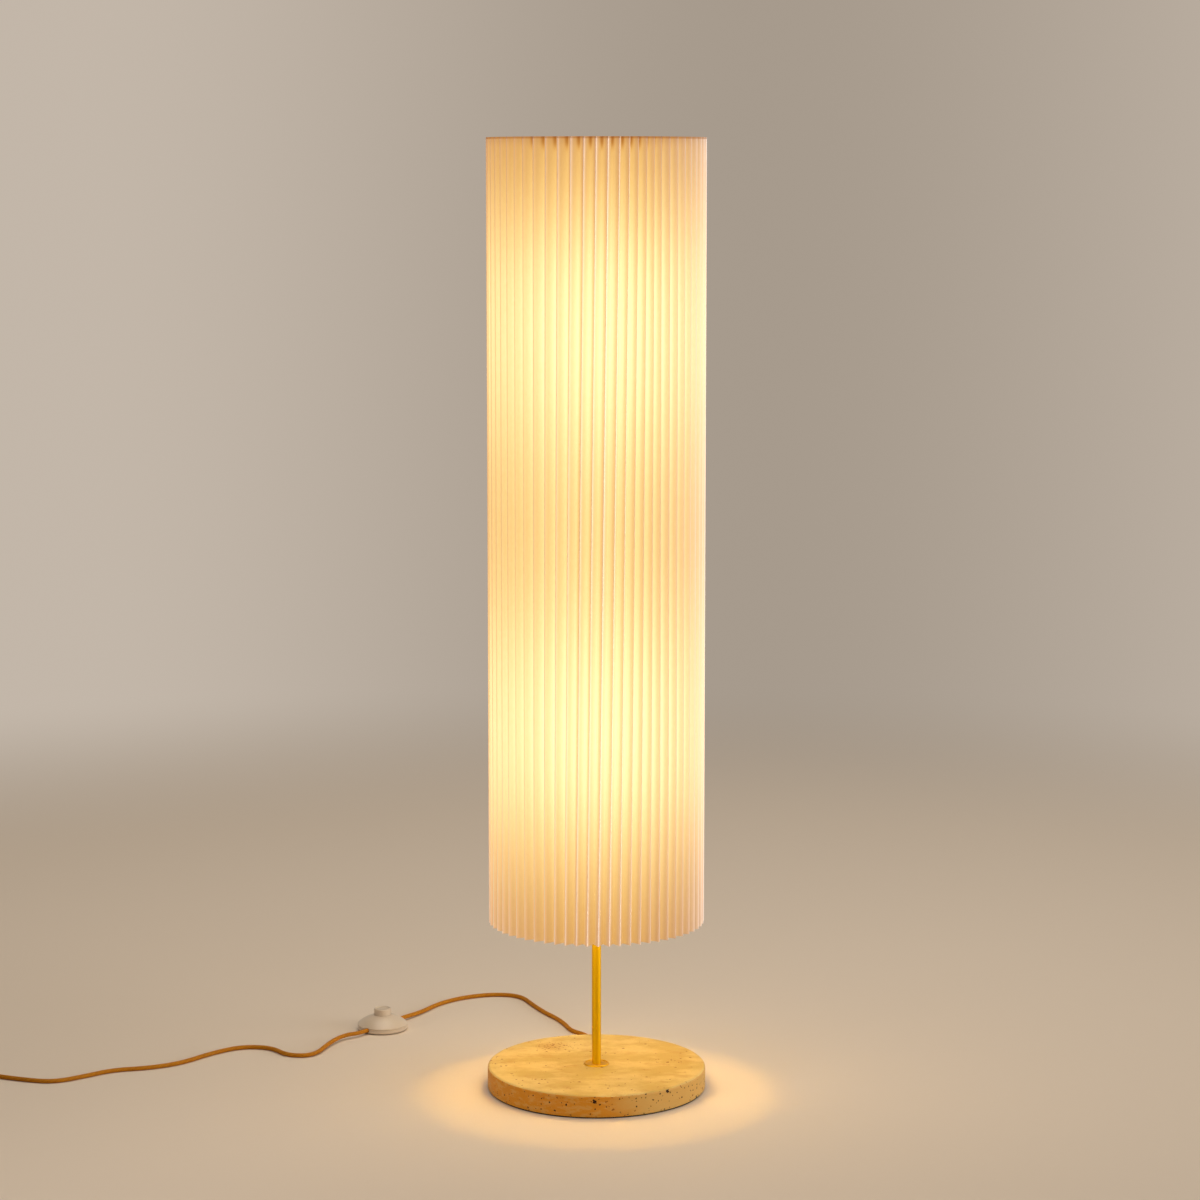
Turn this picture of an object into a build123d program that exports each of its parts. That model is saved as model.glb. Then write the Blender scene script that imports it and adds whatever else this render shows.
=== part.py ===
from build123d import *

import math
import os

os.makedirs("parts", exist_ok=True)

# A floor lamp: a pleated paper cylinder on a thin brass pole, standing on a round stone.
# The origin is the middle of the foot on the floor, +Z is up and the cord leaves at +Y.
# All sizes are in millimetres.

# Foot
pad_radius = 148.0
pad_thickness = 1.5
base_radius = 150.0
base_thickness = 30.0
base_top_round = 3.5
base_bottom_round = 1.5
recess_radius = 35.0
recess_depth = 16.0
washer_radius = 20.0
washer_thickness = 2.0
nut_half_width = 6.5
nut_height = 5.0
base_top = pad_thickness + base_thickness
recess_top = pad_thickness + recess_depth
nut_bottom = recess_top - washer_thickness - nut_height
stem_end = 1.5

# Pole
pole_radius = 6.35
pole_bore = 5.15
pole_joint_height = 660.0
joiner_collar = 2.0
plug_length = 16.0
pole_top = 1266.0
stem_radius = 4.0
stud_length = 10.0
wire_bore = 2.75
wire_hole_radius = 2.2
flange_radius = 17.3
flange_floor = 1.0
flange_lip = 2.0
lip_width = 2.2
pole_bottom = base_top + flange_floor
thread_gap = 0.1

# Shade
shade_bottom = 234.0
shade_top = 1300.0
shade_radius = 148.0
pleat_count = 60
pleat_depth = 15.0
paper = 0.5
ring_wire = 1.5
ring_inset = 14.0
spoke_radius = 2.0
spoke_count = 3
hub_radius = 13.0
hub_thickness = 2.5
lower_hub_wall = 3.2
lower_hub_height = 14.0
thumb_screw_radius = 4.5
thumb_screw_part = 5.0
top_nut_radius = 8.0
top_nut_height = 13.0
top_nut_round = 4.0

# Two bulbs on short arms behind the pole, turned a little as they are in use
lamps = {"upper": (940.0, -12.0), "lower": (416.0, 4.0)}
bulb_offset = 40.0
arm_radius = 5.0
arm_bore = 3.5
arm_bend = 14.0
arm_drop = 22.0
arm_into_cap = 4.0
tee_radius = 10.5
tee_height = 20.0
tee_reach = 17.0
tee_round = 1.2
tee_boss_wall = 2.0
arm_start = 7.5
set_screw_radius = 2.0
set_screw_sunk = 0.3
key_radius = 1.0
key_depth = 1.5
lead_radius = 1.6
lead_start = 1.4
holder_radius = 20.0
holder_wall = 2.2
cap_height = 20.0
cap_collar = 4.0
cap_shoulder = 14.0
core_bottom = 18.0
core_radius = holder_radius - holder_wall
core_top = 50.0
cup_floor = 24.0
sleeve_outer = 14.6
sleeve_inner = 13.9
tongue_width = 8.0
tongue_thickness = 0.8
holder_top = 56.0
mouth_bevel = 1.5
bulb_cap_radius = 13.2
bulb_tip = 27.0
bulb_tip_radius = 4.5
bulb_cap_top = 52.0
neck_height = 7.0
neck_flare = 0.8
globe_radius = 30.0
globe_centre = 104.0

# Cord and what it passes through
cord_radius = 3.0
cord_exit_height = 6.5
cord_exit = 149.5
channel_radius = 5.0
bushing_length = 12.0
clamp_face = 24.0
clamp_size = (24.0, 8.0)
clamp_bottom = 3.2
clamp_corner = 1.5
clamp_screw_offset = 8.5
clamp_screw_radius = 1.5
clamp_screw_grip = 6.0
screw_head_radius = 2.75
screw_head = 1.4
wire_radius = 1.1
wire_spacing = 1.2
wire_turn = (9.0, 4.3)
wire_bend = 3.5

# Foot switch
switch_place = Location((-315.5, 287.0, 0), (0, 0, 56.0))
switch_pad = 1.0
switch_radius = 36.5
switch_wall = 2.0
switch_seam = 6.5
switch_groove = 0.8
switch_top = 22.0
switch_rim_top = 9.0
dome_radius = 60.0
switch_lap = 1.5
switch_hole_height = 6.0
switch_hole = 3.5
switch_floor = switch_pad + switch_wall
button_radius = 12.4
button_round = 1.2
button_dish = 1.0
button_rim = 1.9
button_gap = 0.3
button_top = 31.6
button_flange = 14.6
button_bottom = 17.2
button_bore = 10.4
button_roof = 3.0
spring_radius = 6.0
spring_wire = 0.5
spring_turns = 6
spring_boss = 3.0
post_circle = 28.0
post_count = 4
post_radius = 3.0
post_screw = 1.3
post_screw_length = 8.0
contact_place = 22.5
contact_size = (18.0, 9.0)
contact_height = 6.5
terminal_radius = 2.0
terminal_height = 1.5
grip_end = 30.0
grip_size = (8.0, 12.0)

# Coil of the length that lies out of sight, with its plug
coil_place = Location((-908.0, 10.5, 0))
coil_inner = 24.0
coil_outer = 42.25
coil_top = 12.1
tie_thickness = 0.8
tie_width = 9.0
plug_place = Location((-962.0, -88.0, 0), (0, 0, 251.6))
plug_thickness = 13.7
plug_half_width = 17.65
plug_back = 20.0
plug_front = 56.0
plug_shoulder = 12.0
plug_corner = 3.0
plug_neck_half_width = 6.0
plug_waist_half_width = 11.0
plug_round = 2.5
neck_radius = 4.8
sleeve_wall = 0.6
rib_count = 3
rib_start = 3.5
rib_pitch = 5.0
rib_width = 2.4
rib_height = 1.0
rib_growth = 0.25
pin_radius = 2.0
pin_length = 19.0
pin_spacing = 19.0

# Where the cord lies, from the foot to the switch and from the switch to the coil
cord_lies = cord_radius + 0.05
to_switch_route = [
    (0, cord_exit, cord_exit_height),
    (-1.5, 172, 5.0),
    (-5.5, 205, 3.3),
    (-14.4, 243.5, cord_lies),
    (-37, 264.7, cord_lies),
    (-47, 302.5, cord_lies),
    (-60, 334, cord_lies),
    (-75.6, 360.7, cord_lies),
    (-95, 403.6, cord_lies),
    (-115.7, 459.7, cord_lies),
    (-159, 469.5, cord_lies),
    (-206.5, 449, cord_lies),
    (-241, 412.3, cord_lies),
    (-262, 367, 3.6),
    (-285.3, 331.8, 5.5),
    (-298.72, 311.87, switch_hole_height),
]
to_coil_route = [
    (-332.28, 262.13, switch_hole_height),
    (-345, 243.3, 6.0),
    (-368, 231, 6.2),
    (-386, 197, 5.0),
    (-402, 137, 3.4),
    (-441, 138, cord_lies),
    (-467, 178, cord_lies),
    (-510.5, 183, cord_lies),
    (-549, 151.5, cord_lies),
    (-587, 100, cord_lies),
    (-630.5, 76, cord_lies),
    (-679, 66, cord_lies),
    (-713.5, 36, cord_lies),
    (-752, 8.5, cord_lies),
    (-795, 20, cord_lies),
    (-833, 36, cord_lies),
    (-866, 49, cord_lies),
    (-890, 49.7, 3.4),
]
tail_route = [
    (-947.2, -7.5, 8.6),
    (-948.5, -34, 6.4),
    (-953.5, -62, 6.2),
    (-962, -88, plug_thickness / 2),
]


def save(shape, name):
    shape.label = name
    export_step(shape, f"parts/{name}.step")


def corner_radii(points):
    # Each arc is as large as the two runs beside it allow
    radii = []
    for before, corner, after in zip(points, points[1:], points[2:]):
        run_in = Vector(*corner) - Vector(*before)
        run_out = Vector(*after) - Vector(*corner)
        half_turn = math.radians(run_in.get_angle(run_out)) / 2
        radii.append(0.45 * min(run_in.length, run_out.length) / math.tan(half_turn))
    return radii


def cord_tube(points, name):
    radii = corner_radii(points)
    with BuildPart() as tube:
        with BuildLine() as path:
            FilletPolyline(*points, radius=radii)
        with BuildSketch(Plane(origin=path.line @ 0, z_dir=path.line % 0)):
            Circle(cord_radius)
        sweep()
    length = path.wire().length
    ratio = tube.part.volume / (math.pi * cord_radius**2 * length)
    print(f"{name}: {length:.0f} mm, volume over section times length {ratio:.4f}")
    print("  radii", [round(radius) for radius in radii])
    save(tube.part, name)


# Stone disc with a recess for the fixings and a channel for the cord underneath
with BuildPart() as base_stone:
    with BuildSketch(Plane.XY.offset(pad_thickness)):
        Circle(base_radius)
    extrude(amount=base_thickness)
    rims = base_stone.edges().filter_by(GeomType.CIRCLE).sort_by(Axis.Z)
    fillet(rims[-1], radius=base_top_round)
    fillet(rims[0], radius=base_bottom_round)
    with BuildSketch(Plane.XY.offset(pad_thickness)):
        Circle(recess_radius)
    extrude(amount=recess_depth, mode=Mode.SUBTRACT)
    with BuildSketch(Plane.XY.offset(base_top)):
        Circle(stem_radius + 3 * thread_gap)
    extrude(amount=-base_thickness, mode=Mode.SUBTRACT)
    with BuildSketch(Plane.XZ.offset(-base_radius - 1)):
        with Locations((0, cord_exit_height)):
            Circle(channel_radius)
        with Locations((0, pad_thickness)):
            Rectangle(
                2 * channel_radius,
                cord_exit_height - pad_thickness,
                align=(Align.CENTER, Align.MIN),
            )
    extrude(amount=base_radius + 1 - recess_radius / 2, mode=Mode.SUBTRACT)
    with BuildSketch(Plane.XY.offset(recess_top)):
        with Locations((0, clamp_face + clamp_size[1] / 2)):
            with GridLocations(2 * clamp_screw_offset, 1, 2, 1):
                Circle(clamp_screw_radius)
    extrude(amount=clamp_screw_grip + 1, mode=Mode.SUBTRACT)
save(base_stone.part, "base_stone")

# Thin dark pad that closes the recess and the channel
with BuildPart() as base_pad:
    with BuildSketch():
        Circle(pad_radius)
    extrude(amount=pad_thickness)
save(base_pad.part, "base_pad")

# Washer and nut that pull the pole down on the stone
with BuildPart() as base_washer:
    with BuildSketch(Plane.XY.offset(recess_top - washer_thickness)):
        Circle(washer_radius)
        Circle(stem_radius + thread_gap, mode=Mode.SUBTRACT)
    extrude(amount=washer_thickness)
save(base_washer.part, "base_washer")

with BuildPart() as base_nut:
    with BuildSketch(Plane.XY.offset(nut_bottom)):
        RegularPolygon(nut_half_width, 6, major_radius=False)
        Circle(stem_radius, mode=Mode.SUBTRACT)
    extrude(amount=nut_height)
save(base_nut.part, "base_nut")

# Hollow threaded tube from the recess up into the pole
with BuildPart() as base_tube:
    with BuildSketch(Plane.XY.offset(nut_bottom - stem_end)):
        Circle(stem_radius)
        Circle(wire_bore, mode=Mode.SUBTRACT)
    extrude(amount=pole_bottom + plug_length - (nut_bottom - stem_end))
save(base_tube.part, "base_tube")

# Brass flange, a shallow dish with a rolled lip
with BuildPart() as pole_flange:
    with BuildSketch(Plane.XZ):
        with BuildLine():
            Polyline(
                (flange_radius - lip_width / 2, base_top + flange_lip),
                (flange_radius - lip_width / 2, base_top),
                (stem_radius + thread_gap, base_top),
                (stem_radius + thread_gap, pole_bottom),
                (flange_radius - lip_width, pole_bottom),
                (flange_radius - lip_width, base_top + flange_lip - lip_width / 2),
            )
            RadiusArc(
                (flange_radius - lip_width, base_top + flange_lip - lip_width / 2),
                (flange_radius - lip_width / 2, base_top + flange_lip),
                lip_width / 2,
            )
        make_face()
    revolve(axis=Axis.Z)
    with BuildSketch(Plane.XZ):
        with BuildLine():
            Polyline(
                (flange_radius - lip_width / 2, base_top + flange_lip),
                (flange_radius - lip_width / 2, base_top),
                (flange_radius, base_top),
                (flange_radius, base_top + flange_lip - lip_width / 2),
            )
            RadiusArc(
                (flange_radius, base_top + flange_lip - lip_width / 2),
                (flange_radius - lip_width / 2, base_top + flange_lip),
                -lip_width / 2,
            )
        make_face()
    revolve(axis=Axis.Z)
save(pole_flange.part, "pole_flange")

# Threaded plug in the foot of the pole
with BuildPart() as pole_foot_plug:
    with BuildSketch(Plane.XY.offset(pole_bottom)):
        Circle(pole_bore)
        Circle(stem_radius, mode=Mode.SUBTRACT)
    extrude(amount=plug_length)
save(pole_foot_plug.part, "pole_foot_plug")


def pole_tube(low, high, holder_bottom, turn):
    # A length of tube with a wire hole behind it, level with the arm
    with BuildPart() as tube:
        with BuildSketch(Plane.XY.offset(low)):
            Circle(pole_radius)
            Circle(pole_bore, mode=Mode.SUBTRACT)
        extrude(amount=high - low)
        with BuildSketch(Plane.XZ):
            with Locations((0, holder_bottom - arm_drop)):
                Circle(wire_hole_radius)
        extrude(amount=-2 * pole_radius, mode=Mode.SUBTRACT)
    return tube.part.rotate(Axis.Z, turn)


save(pole_tube(pole_bottom, pole_joint_height, *lamps["lower"]), "pole_lower")
save(pole_tube(pole_joint_height + joiner_collar, pole_top, *lamps["upper"]), "pole_upper")

# Spigot between the two lengths of the pole, with a flush collar
with BuildPart() as pole_joiner:
    with BuildSketch(Plane.XY.offset(pole_joint_height - plug_length)):
        Circle(pole_bore)
    extrude(amount=2 * plug_length + joiner_collar)
    with BuildSketch(Plane.XY.offset(pole_joint_height)):
        Circle(pole_radius)
    extrude(amount=joiner_collar)
    with BuildSketch(Plane.XY.offset(pole_joint_height - plug_length)):
        Circle(wire_bore)
    extrude(amount=2 * plug_length + joiner_collar, mode=Mode.SUBTRACT)
save(pole_joiner.part, "pole_joiner")

# Plug with a stud in the top of the pole
with BuildPart() as pole_top_plug:
    with BuildSketch(Plane.XY.offset(pole_top - plug_length)):
        Circle(pole_bore)
    extrude(amount=plug_length)
    with BuildSketch(Plane.XY.offset(pole_top)):
        Circle(stem_radius)
    extrude(amount=stud_length)
save(pole_top_plug.part, "pole_top_plug")

# Two thin wires from the clamp under the stone up the pole to the upper arm
wires_top = lamps["upper"][0] - arm_drop + wire_hole_radius
with BuildPart() as pole_wires:
    for side in (-wire_spacing, wire_spacing):
        with BuildLine() as path:
            FilletPolyline(
                (side, clamp_face, cord_exit_height),
                (side, *wire_turn),
                (side, 0, wire_turn[1]),
                (side, 0, wires_top),
                radius=wire_bend,
            )
        with BuildSketch(Plane(origin=path.line @ 0, z_dir=path.line % 0)):
            Circle(wire_radius)
        sweep()
save(pole_wires.part, "pole_wires")


def lathe(points, name, turn=0.0):
    # A ring turned about the bulb's axis from a closed outline of (radius, height)
    with BuildPart() as ring:
        with BuildSketch(Plane.XZ.offset(-bulb_offset)):
            with BuildLine():
                Polyline(*points, close=True)
            make_face()
        revolve(axis=Axis((0, bulb_offset, 0), (0, 0, 1)))
    save(ring.part.rotate(Axis.Z, turn), name)


def arm_path(height, start, rise):
    # Out from the pole, round a bend and up on the bulb's axis
    with BuildLine(Plane.YZ) as path:
        bend_start = bulb_offset - arm_bend
        Line((start, height), (bend_start, height))
        JernArc((bend_start, height), (1, 0), arm_bend, 90)
        Line((bulb_offset, height + arm_bend), (bulb_offset, height + rise))
    return path.line


# Each bulb's clamp on the pole, arm, lampholder and bulb
lamp_leads = []
tee_screws = []
for lamp, (bottom, turn) in lamps.items():
    height = bottom - arm_drop

    with BuildPart() as tee:
        with BuildSketch(Plane.XY.offset(height - tee_height / 2)):
            Circle(tee_radius)
        extrude(amount=tee_height)
        fillet(tee.edges().filter_by(GeomType.CIRCLE), radius=tee_round)
        with BuildSketch(Plane.XZ):
            with Locations((0, height)):
                Circle(arm_radius + tee_boss_wall)
        extrude(amount=-tee_reach)
        with BuildSketch(Plane.XY.offset(height - tee_height / 2)):
            Circle(pole_radius)
        extrude(amount=tee_height, mode=Mode.SUBTRACT)
        with BuildSketch(Plane.XZ.offset(-arm_start)):
            with Locations((0, height)):
                Circle(arm_radius)
        extrude(amount=-tee_reach, mode=Mode.SUBTRACT)
        with BuildSketch(Plane.XZ):
            with Locations((0, height)):
                Circle(wire_hole_radius)
        extrude(amount=-tee_reach, mode=Mode.SUBTRACT)
        with BuildSketch(Plane.XZ):
            with Locations((0, height)):
                Circle(set_screw_radius)
        extrude(amount=tee_radius, mode=Mode.SUBTRACT)
    save(tee.part.rotate(Axis.Z, turn), f"{lamp}_tee")

    with BuildPart() as tee_screw:
        with BuildSketch(Plane.XZ.offset(pole_radius)):
            with Locations((0, height)):
                Circle(set_screw_radius)
        extrude(amount=tee_radius - pole_radius - set_screw_sunk)
        with BuildSketch(Plane.XZ.offset(tee_radius - set_screw_sunk)):
            with Locations((0, height)):
                RegularPolygon(key_radius, 6)
        extrude(amount=-key_depth, mode=Mode.SUBTRACT)
    tee_screws.append(tee_screw.part.rotate(Axis.Z, turn))

    with BuildPart() as arm:
        with BuildLine() as way:
            add(arm_path(height, arm_start, arm_drop + arm_into_cap))
        with BuildSketch(Plane(origin=way.line @ 0, z_dir=way.line % 0)):
            Circle(arm_radius)
            Circle(arm_bore, mode=Mode.SUBTRACT)
        sweep()
    save(arm.part.rotate(Axis.Z, turn), f"{lamp}_arm")

    with BuildPart() as lead:
        with BuildLine() as way:
            add(arm_path(height, lead_start, arm_drop + core_bottom))
        with BuildSketch(Plane(origin=way.line @ 0, z_dir=way.line % 0)):
            Circle(lead_radius)
        sweep()
    lamp_leads.append(lead.part.rotate(Axis.Z, turn))

    # Cap with a round shoulder, hollow for the terminals
    collar_radius = arm_radius + cap_collar
    shoulder = bottom + cap_shoulder
    shoulder_rise = holder_radius - collar_radius
    shoulder_arc = shoulder_rise + holder_wall
    roof = shoulder - shoulder_rise + holder_wall
    with BuildPart() as holder_cap:
        with BuildSketch(Plane.XZ.offset(-bulb_offset)):
            with BuildLine():
                Polyline(
                    (arm_radius, bottom + arm_into_cap),
                    (arm_radius, bottom),
                    (collar_radius, bottom),
                    (collar_radius, shoulder - shoulder_rise),
                )
                RadiusArc(
                    (collar_radius, shoulder - shoulder_rise),
                    (holder_radius, shoulder),
                    -shoulder_arc,
                )
                Polyline(
                    (holder_radius, shoulder),
                    (holder_radius, bottom + cap_height),
                    (core_radius, bottom + cap_height),
                    (core_radius, shoulder),
                )
                RadiusArc(
                    (core_radius, shoulder),
                    (collar_radius, roof),
                    shoulder_arc - holder_wall,
                )
                Line((collar_radius, roof), (arm_radius, bottom + arm_into_cap))
            make_face()
        revolve(axis=Axis((0, bulb_offset, 0), (0, 0, 1)))
    save(holder_cap.part.rotate(Axis.Z, turn), f"{lamp}_holder_cap")

    # Ceramic cup that insulates the contacts
    lathe(
        [
            (0, bottom + core_bottom),
            (core_radius, bottom + core_bottom),
            (core_radius, bottom + core_top),
            (sleeve_outer, bottom + core_top),
            (sleeve_outer, bottom + cup_floor),
            (0, bottom + cup_floor),
        ],
        f"{lamp}_holder_core",
        turn,
    )

    # Threaded sleeve and the springy tongue under the bulb's tip
    with BuildPart() as holder_contacts:
        with BuildSketch(Plane.XY.offset(bottom + cup_floor + 1)):
            with Locations((0, bulb_offset)):
                Circle(sleeve_outer)
                Circle(sleeve_inner, mode=Mode.SUBTRACT)
        extrude(amount=core_top - cup_floor - 3)
        tongue_low, tongue_high = bottom + cup_floor, bottom + bulb_tip
        with BuildSketch(Plane.YZ.offset(-tongue_width / 2)):
            with BuildLine():
                Polyline(
                    (bulb_offset - 9, tongue_low),
                    (bulb_offset - 4, tongue_low),
                    (bulb_offset, tongue_high - tongue_thickness),
                    (bulb_offset + 6, tongue_high - tongue_thickness),
                    (bulb_offset + 6, tongue_high),
                    (bulb_offset - 1, tongue_high),
                    (bulb_offset - 5, tongue_low + tongue_thickness),
                    (bulb_offset - 9, tongue_low + tongue_thickness),
                    close=True,
                )
            make_face()
        extrude(amount=tongue_width)
    save(holder_contacts.part.rotate(Axis.Z, turn), f"{lamp}_holder_contacts")

    # Outer sleeve with a rounded mouth
    lathe(
        [
            (core_radius, bottom + cap_height),
            (holder_radius, bottom + cap_height),
            (holder_radius, bottom + holder_top - mouth_bevel),
            (holder_radius - mouth_bevel, bottom + holder_top),
            (sleeve_outer, bottom + holder_top),
            (sleeve_outer, bottom + core_top),
            (core_radius, bottom + core_top),
        ],
        f"{lamp}_holder_shell",
        turn,
    )

    # Metal cap of the bulb, tapering to its tip
    lathe(
        [
            (0, bottom + bulb_tip),
            (bulb_tip_radius, bottom + bulb_tip),
            (bulb_tip_radius + 1, bottom + bulb_tip + 1),
            (bulb_cap_radius, bottom + bulb_tip + 5),
            (bulb_cap_radius, bottom + bulb_cap_top),
            (0, bottom + bulb_cap_top),
        ],
        f"{lamp}_bulb_cap",
        turn,
    )

    # Opal globe that narrows to a neck
    centre = bottom + globe_centre
    meeting = math.radians(-24)
    shoulder = (globe_radius * math.cos(meeting), centre + globe_radius * math.sin(meeting))
    with BuildPart() as bulb_globe:
        with BuildSketch(Plane.XZ.offset(-bulb_offset)):
            with BuildLine():
                Polyline(
                    (0, bottom + bulb_cap_top),
                    (bulb_cap_radius, bottom + bulb_cap_top),
                    (bulb_cap_radius + neck_flare, bottom + bulb_cap_top + neck_height),
                )
                Spline(
                    (bulb_cap_radius + neck_flare, bottom + bulb_cap_top + neck_height),
                    shoulder,
                    tangents=[(0.1, 1), (-math.sin(meeting), math.cos(meeting))],
                )
                ThreePointArc(
                    shoulder,
                    (
                        globe_radius * math.cos(math.radians(35)),
                        centre + globe_radius * math.sin(math.radians(35)),
                    ),
                    (0, centre + globe_radius),
                )
                Line((0, centre + globe_radius), (0, bottom + bulb_cap_top))
            make_face()
        revolve(axis=Axis((0, bulb_offset, 0), (0, 0, 1)))
    save(bulb_globe.part.rotate(Axis.Z, turn), f"{lamp}_bulb_globe")

save(Compound(lamp_leads), "lamp_leads")
save(Compound(tee_screws), "tee_screws")

# One folded sheet closed into a tube: folds point out at the full radius and in between them
pitch = math.radians(360 / pleat_count)
fold_radius = shade_radius - pleat_depth
panel_spread = math.sin(pitch / 2)
panel_drop = math.cos(pitch / 2)
tip_half_angle = math.atan2(fold_radius * panel_spread, shade_radius - fold_radius * panel_drop)
fold_half_angle = math.atan2(shade_radius * panel_spread, shade_radius * panel_drop - fold_radius)
inside_tip_radius = shade_radius - paper / math.sin(tip_half_angle)
inside_fold_radius = fold_radius - paper / math.sin(fold_half_angle)


def zigzag(tip, fold):
    points = []
    for pleat in range(pleat_count):
        angle = pleat * pitch
        points.append((tip * math.cos(angle), tip * math.sin(angle)))
        angle += pitch / 2
        points.append((fold * math.cos(angle), fold * math.sin(angle)))
    return points


with BuildPart() as pleated_shade:
    with BuildSketch(Plane.XY.offset(shade_bottom)):
        with BuildLine():
            Polyline(*zigzag(shade_radius, fold_radius), close=True)
        make_face()
        with BuildLine():
            Polyline(*zigzag(inside_tip_radius, inside_fold_radius), close=True)
        make_face(mode=Mode.SUBTRACT)
    extrude(amount=shade_top - shade_bottom)
save(pleated_shade.part, "pleated_shade")

# Wire rings inside the folds, near each end
ring_radius = inside_fold_radius - ring_wire
ring_heights = {"top": shade_top - ring_inset, "bottom": shade_bottom + ring_inset}
for end, ring_height in ring_heights.items():
    with BuildPart() as shade_ring:
        with BuildSketch(Plane.XZ):
            with Locations((ring_radius, ring_height)):
                Circle(ring_wire)
        revolve(axis=Axis.Z)
    save(shade_ring.part, f"shade_{end}_ring")

# Spider that hangs the shade on the top of the pole
spoke_end = ring_radius - ring_wire + 0.3
with BuildPart() as top_spider:
    with BuildSketch(Plane.XY.offset(pole_top)):
        Circle(hub_radius)
    extrude(amount=hub_thickness)
    hub_middle = pole_top + hub_thickness / 2
    for spoke in range(spoke_count):
        angle = math.radians(90 + spoke * 360 / spoke_count)
        inner = Vector(math.cos(angle), math.sin(angle)) * (hub_radius - 3)
        outer = Vector(math.cos(angle), math.sin(angle)) * spoke_end
        inner += Vector(0, 0, hub_middle + 0.8)
        outer += Vector(0, 0, ring_heights["top"])
        with BuildSketch(Plane(origin=inner, z_dir=outer - inner)):
            Circle(spoke_radius)
        extrude(amount=(outer - inner).length)
    with BuildSketch(Plane.XY.offset(pole_top)):
        Circle(stem_radius + thread_gap)
    extrude(amount=3 * hub_thickness, mode=Mode.SUBTRACT)
save(top_spider.part, "top_spider")

# Spider that keeps the foot of the shade centred on the pole
bottom_ring = ring_heights["bottom"]
with BuildPart() as bottom_spider:
    with BuildSketch(Plane.XY.offset(bottom_ring - lower_hub_height / 2)):
        Circle(pole_radius + lower_hub_wall)
    extrude(amount=lower_hub_height)
    for spoke in range(spoke_count):
        angle = 90 + spoke * 360 / spoke_count
        spoke_plane = Plane.YZ.rotated((0, 0, angle)).offset(pole_radius + 1)
        with BuildSketch(spoke_plane):
            with Locations((0, bottom_ring)):
                Circle(spoke_radius)
        extrude(amount=spoke_end - pole_radius - 1)
    with BuildSketch(Plane.XY.offset(bottom_ring - lower_hub_height / 2)):
        Circle(pole_radius)
    extrude(amount=lower_hub_height, mode=Mode.SUBTRACT)
    with BuildSketch(Plane.XZ):
        with Locations((0, bottom_ring)):
            Circle(set_screw_radius)
    extrude(amount=2 * pole_radius, mode=Mode.SUBTRACT)
save(bottom_spider.part, "bottom_spider")

# Thumb screw that holds the lower spider on the pole
with BuildPart() as hub_screw:
    with BuildSketch(Plane.XZ.offset(pole_radius)):
        with Locations((0, bottom_ring)):
            Circle(set_screw_radius)
    extrude(amount=thumb_screw_part)
    with BuildSketch(Plane.XZ.offset(pole_radius + thumb_screw_part)):
        with Locations((0, bottom_ring)):
            Circle(thumb_screw_radius)
    extrude(amount=thumb_screw_part)
    fillet(hub_screw.edges().filter_by(GeomType.CIRCLE).sort_by(Axis.Y)[0], radius=1)
save(hub_screw.part, "hub_screw")

# Round nut on the stud, below the rim of the shade
with BuildPart() as top_nut:
    with BuildSketch(Plane.XY.offset(pole_top + hub_thickness)):
        Circle(top_nut_radius)
    extrude(amount=top_nut_height)
    fillet(top_nut.edges().filter_by(GeomType.CIRCLE).sort_by(Axis.Z)[-1], radius=top_nut_round)
    with BuildSketch(Plane.XY.offset(pole_top + hub_thickness)):
        Circle(stem_radius)
    extrude(amount=stud_length - hub_thickness, mode=Mode.SUBTRACT)
save(top_nut.part, "top_nut")

# Rubber bushing in the mouth of the channel
with BuildPart() as cord_bushing:
    with BuildSketch(Plane.XZ.offset(-cord_exit)):
        with Locations((0, cord_exit_height)):
            Circle(channel_radius)
        with Locations((0, pad_thickness)):
            Rectangle(
                2 * channel_radius,
                cord_exit_height - pad_thickness,
                align=(Align.CENTER, Align.MIN),
            )
        with Locations((0, cord_exit_height)):
            Circle(cord_radius, mode=Mode.SUBTRACT)
    extrude(amount=bushing_length)
save(cord_bushing.part, "cord_bushing")

# Block that grips the cord in the recess, and its two screws
with BuildPart() as cord_clamp:
    with BuildSketch(Plane.XY.offset(clamp_bottom)):
        with Locations((0, clamp_face + clamp_size[1] / 2)):
            RectangleRounded(*clamp_size, clamp_corner)
            with GridLocations(2 * clamp_screw_offset, 1, 2, 1):
                Circle(clamp_screw_radius, mode=Mode.SUBTRACT)
    extrude(amount=recess_top - clamp_bottom)
    with BuildSketch(Plane.XZ):
        with Locations((0, cord_exit_height)):
            Circle(cord_radius)
    extrude(amount=-2 * recess_radius, mode=Mode.SUBTRACT)
save(cord_clamp.part, "cord_clamp")

with BuildPart() as clamp_screws:
    with BuildSketch(Plane.XY.offset(clamp_bottom - screw_head)):
        with Locations((0, clamp_face + clamp_size[1] / 2)):
            with GridLocations(2 * clamp_screw_offset, 1, 2, 1):
                Circle(screw_head_radius)
    extrude(amount=screw_head)
    with BuildSketch(Plane.XY.offset(clamp_bottom)):
        with Locations((0, clamp_face + clamp_size[1] / 2)):
            with GridLocations(2 * clamp_screw_offset, 1, 2, 1):
                Circle(clamp_screw_radius)
    extrude(amount=recess_top - clamp_bottom + clamp_screw_grip)
save(clamp_screws.part, "clamp_screws")

# Cord between the clamp and the back of the stone
with BuildPart() as cord_in_base:
    with BuildSketch(Plane.XZ.offset(-clamp_face)):
        with Locations((0, cord_exit_height)):
            Circle(cord_radius)
    extrude(amount=-(cord_exit - clamp_face))
save(cord_in_base.part, "cord_in_base")

cord_tube(to_switch_route, "cord_to_switch")
cord_tube(to_coil_route, "cord_to_coil")
cord_tube(tail_route, "cord_tail")

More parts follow.
